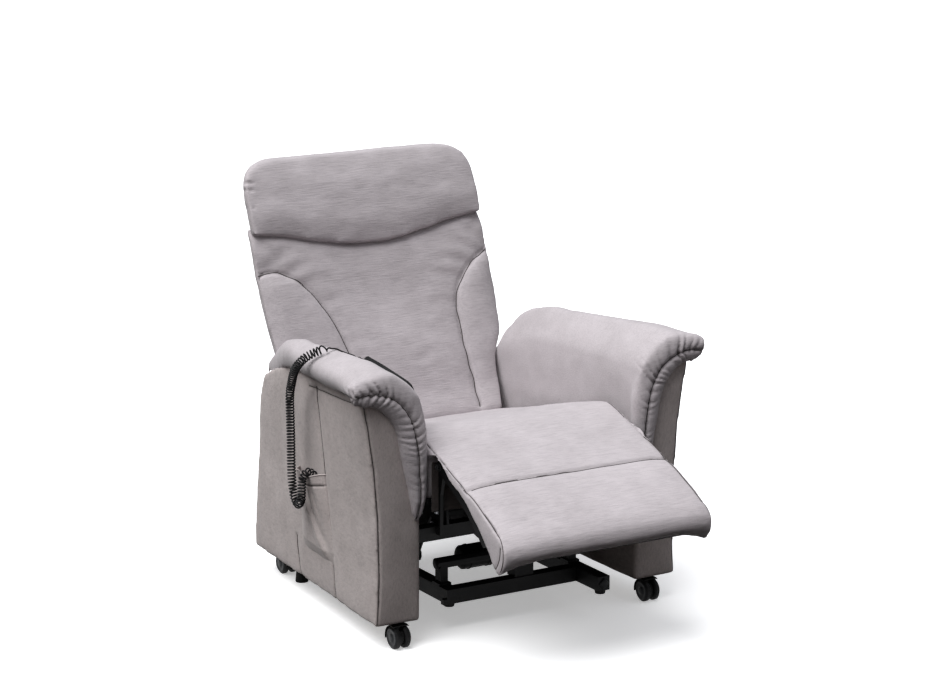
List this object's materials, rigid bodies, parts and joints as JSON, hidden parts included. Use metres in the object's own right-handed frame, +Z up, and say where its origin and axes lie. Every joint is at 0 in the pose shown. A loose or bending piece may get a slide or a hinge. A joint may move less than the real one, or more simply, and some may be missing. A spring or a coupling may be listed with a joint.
{
  "type": "lift recliner chair",
  "caption": "Powered lift recliner on twin-wheel casters with padded arms, raised footrest, side pocket, corded hand control and a tilting lift base under the seat.",
  "frame": {"origin": "on the floor, at the middle of the chair's width and depth in the reclined pose", "axes": "-Y towards the footrest, +Y towards the back, +Z up, +X towards the arm without the pocket"},
  "size_m": [0.8792, 1.2166, 0.9385],
  "materials": {
    "upholstery": "fine ribbed microfibre",
    "lining": "flat woven lining",
    "black_steel": "black powder coat",
    "black_plastic": "fine grain",
    "motor_plastic": "fine grain",
    "key_plastic": "satin",
    "rubber": "matte",
    "tread": "smooth",
    "plywood": "raw sheet wood",
    "rod_steel": "zinc plated"
  },
  "bodies": {
    "base_frame": {"base_rail_left": "black_steel", "base_rail_right": "black_steel", "base_crossbar_front": "black_steel", "base_crossbar_rear": "black_steel", "base_foot_front_left": "rubber", "base_foot_front_right": "rubber", "base_foot_rear_left": "rubber", "base_foot_rear_right": "rubber", "base_rest_tube": "black_steel", "lift_pivot_shaft": "black_steel", "lift_drive_bracket": "black_steel"},
    "lift_arms": {"lift_arm_left": "black_steel", "lift_arm_right": "black_steel", "lift_torque_tube": "black_steel"},
    "lift_drive": {"lift_drive_motor": "motor_plastic"},
    "lift_rod": {"lift_drive_rod": "rod_steel"},
    "seat_frame": {"seat_side_plate_left": "black_steel", "seat_side_plate_right": "black_steel", "seat_tube_front": "black_steel", "seat_tube_rear": "black_steel", "seat_deck": "plywood", "seat_front_panel": "lining", "seat_cushion": "upholstery", "control_box": "black_plastic", "arm_cover_left": "upholstery", "arm_cover_right": "upholstery", "arm_frame_left": "plywood", "arm_frame_right": "plywood", "arm_pad_left": "upholstery", "arm_pad_right": "upholstery", "side_pocket": "upholstery", "glide_left": "rubber", "glide_right": "rubber", "handset_shell": "black_plastic", "handset_strain_relief": "rubber", "handset_lead": "rubber", "curly_lead": "rubber"},
    "recline_drive": {"recline_drive_motor": "motor_plastic"},
    "recline_rod": {"recline_drive_rod": "rod_steel"},
    "backrest": {"back_cushion": "upholstery", "headrest_cushion": "upholstery", "back_frame": "black_steel", "back_rear_cover": "lining"},
    "footrest": {"footrest_bridge": "upholstery", "footrest_cushion": "upholstery", "footrest_board": "plywood", "footrest_arm_left": "black_steel", "footrest_arm_right": "black_steel"},
    "caster_front_left": {"caster_housing_front_left": "black_plastic"},
    "wheels_front_left": {"caster_wheels_front_left": "tread"},
    "caster_front_right": {"caster_housing_front_right": "black_plastic"},
    "wheels_front_right": {"caster_wheels_front_right": "tread"},
    "caster_rear_left": {"caster_housing_rear_left": "black_plastic"},
    "wheels_rear_left": {"caster_wheels_rear_left": "tread"},
    "caster_rear_right": {"caster_housing_rear_right": "black_plastic"},
    "wheels_rear_right": {"caster_wheels_rear_right": "tread"},
    "key_lift_up": {"handset_key_lift_up": "key_plastic"},
    "key_lift_down": {"handset_key_lift_down": "key_plastic"},
    "key_back_up": {"handset_key_back_up": "key_plastic"},
    "key_back_down": {"handset_key_back_down": "key_plastic"}
  },
  "joints": [
    {"name": "lift", "type": "hinge", "parent": "base_frame", "child": "lift_arms", "pos_m": [0, 0.2031, 0.118], "axis": [-1, 0, 0], "range_deg": [0, 35]},
    {"name": "seat_tilt", "type": "hinge", "parent": "lift_arms", "child": "seat_frame", "pos_m": [0, -0.1269, 0.15], "axis": [1, 0, 0], "range_deg": [0, 63]},
    {"name": "lift_drive_swing", "type": "hinge", "parent": "base_frame", "child": "lift_drive", "pos_m": [0.017, -0.2169, 0.112], "axis": [-1, 0, 0], "range_deg": [-1, 2]},
    {"name": "lift_rod_stroke", "type": "slide", "parent": "lift_drive", "child": "lift_rod", "axis": [0, 0.9755, 0.2201], "range_m": [0, 0.056]},
    {"name": "recline", "type": "hinge", "parent": "seat_frame", "child": "backrest", "pos_m": [0, 0.3211, 0.33], "axis": [-1, 0, 0], "range_deg": [-8, 18]},
    {"name": "recline_drive_swing", "type": "hinge", "parent": "seat_frame", "child": "recline_drive", "pos_m": [-0.11, -0.0969, 0.2], "axis": [-1, 0, 0], "range_deg": [-2, 1]},
    {"name": "recline_rod_stroke", "type": "slide", "parent": "recline_drive", "child": "recline_rod", "axis": [0, 0.9998, -0.0197], "range_m": [-0.044, 0.02]},
    {"name": "footrest_swing", "type": "hinge", "parent": "seat_frame", "child": "footrest", "pos_m": [0, -0.3149, 0.397], "axis": [1, 0, 0], "range_deg": [-8, 54]},
    {"name": "swivel_front_left", "type": "hinge", "parent": "seat_frame", "child": "caster_front_left", "pos_m": [-0.319, -0.2599, 0.052], "axis": [0, 0, 1], "continuous": true},
    {"name": "roll_front_left", "type": "hinge", "parent": "caster_front_left", "child": "wheels_front_left", "pos_m": [-0.319, -0.2759, 0.02479], "axis": [1, 0, 0], "continuous": true},
    {"name": "swivel_front_right", "type": "hinge", "parent": "seat_frame", "child": "caster_front_right", "pos_m": [0.319, -0.2599, 0.052], "axis": [0, 0, 1], "continuous": true},
    {"name": "roll_front_right", "type": "hinge", "parent": "caster_front_right", "child": "wheels_front_right", "pos_m": [0.319, -0.2759, 0.02479], "axis": [1, 0, 0], "continuous": true},
    {"name": "swivel_rear_left", "type": "hinge", "parent": "seat_frame", "child": "caster_rear_left", "pos_m": [-0.278, 0.3041, 0.052], "axis": [0, 0, 1], "continuous": true},
    {"name": "roll_rear_left", "type": "hinge", "parent": "caster_rear_left", "child": "wheels_rear_left", "pos_m": [-0.278, 0.3201, 0.02479], "axis": [1, 0, 0], "continuous": true},
    {"name": "swivel_rear_right", "type": "hinge", "parent": "seat_frame", "child": "caster_rear_right", "pos_m": [0.278, 0.3041, 0.052], "axis": [0, 0, 1], "continuous": true},
    {"name": "roll_rear_right", "type": "hinge", "parent": "caster_rear_right", "child": "wheels_rear_right", "pos_m": [0.278, 0.3201, 0.02479], "axis": [1, 0, 0], "continuous": true},
    {"name": "press_lift_up", "type": "slide", "parent": "seat_frame", "child": "key_lift_up", "axis": [-0.8478, -0.0244, -0.5298], "range_m": [0, 0.0015], "stiffness_N_per_m": 400, "springref_m": -0.0005},
    {"name": "press_lift_down", "type": "slide", "parent": "seat_frame", "child": "key_lift_down", "axis": [-0.8478, -0.0244, -0.5298], "range_m": [0, 0.0015], "stiffness_N_per_m": 400, "springref_m": -0.0005},
    {"name": "press_back_up", "type": "slide", "parent": "seat_frame", "child": "key_back_up", "axis": [-0.8478, -0.0244, -0.5298], "range_m": [0, 0.0015], "stiffness_N_per_m": 400, "springref_m": -0.0005},
    {"name": "press_back_down", "type": "slide", "parent": "seat_frame", "child": "key_back_down", "axis": [-0.8478, -0.0244, -0.5298], "range_m": [0, 0.0015], "stiffness_N_per_m": 400, "springref_m": -0.0005}
  ],
  "couplings": [
    {"joint": "seat_tilt", "follows": "lift", "ratio": 1.8},
    {"joint": "lift_drive_swing", "follows": "lift", "ratio": 0.016},
    {"joint": "lift_rod_stroke", "follows": "lift", "m_per_rad": 0.0868},
    {"joint": "recline_drive_swing", "follows": "recline", "ratio": -0.0634},
    {"joint": "recline_rod_stroke", "follows": "recline", "m_per_rad": -0.1357}
  ]
}
